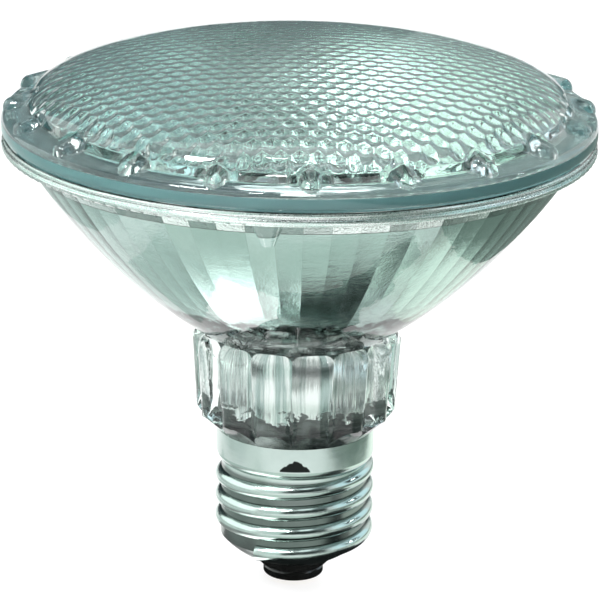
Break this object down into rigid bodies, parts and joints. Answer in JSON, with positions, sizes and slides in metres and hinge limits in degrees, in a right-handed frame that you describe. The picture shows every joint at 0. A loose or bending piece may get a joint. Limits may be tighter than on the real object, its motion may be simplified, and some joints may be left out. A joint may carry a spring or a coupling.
{
  "type": "par spotlight bulb",
  "caption": "Reflector spotlight bulb: stippled domed glass lens on a faceted pressed-glass bowl with a lobed neck and a screw cap.",
  "frame": {"origin": "lowest point of the centre contact, on the lamp's axis", "axes": "+Z along the lamp's axis from the cap up through the lens, -Y towards the viewer of the picture, +X to the viewer's right"},
  "size_m": [0.0964, 0.0964, 0.0911],
  "materials": {
    "lens_glass": "clear pressed glass with small round lenslets on its inner face",
    "reflector_glass": "pale pressed glass with a bright metal coating on its faceted inside",
    "seal_adhesive": "dark flexible adhesive",
    "cap_metal": "thin rolled sheet with a satin nickel finish",
    "cement": "rough mineral cement",
    "insulator_glass": "black moulded glass",
    "contact_metal": "pressed brass",
    "solder": "soft bright solder",
    "quartz": "clear quartz",
    "tungsten": "drawn grey wire",
    "foil_metal": "thin bright foil",
    "lead_metal": "drawn grey wire",
    "post_metal": "nickel-plated rod",
    "ferrule_metal": "drawn sheet, nickel-plated",
    "shield_metal": "polished sheet",
    "wire_metal": "drawn wire",
    "fuse_glass": "clear glass tube"
  },
  "bodies": {
    "root": {"lens": "lens_glass", "reflector": "reflector_glass", "seal_ring": "seal_adhesive", "screw_shell": "cap_metal", "neck_cement": "cement", "insulator": "insulator_glass", "centre_contact": "contact_metal", "contact_solder": "solder", "capsule_envelope": "quartz", "filament": "tungsten", "foil_left": "foil_metal", "foil_right": "foil_metal", "filament_lead_left": "lead_metal", "filament_lead_right": "lead_metal", "capsule_pin_left": "lead_metal", "capsule_pin_right": "lead_metal", "support_post_left": "post_metal", "support_post_right": "post_metal", "ferrule_left": "ferrule_metal", "ferrule_right": "ferrule_metal", "heat_shield": "shield_metal", "shell_lead": "wire_metal", "contact_lead": "wire_metal", "fuse_sleeve": "fuse_glass"}
  },
  "joints": []
}
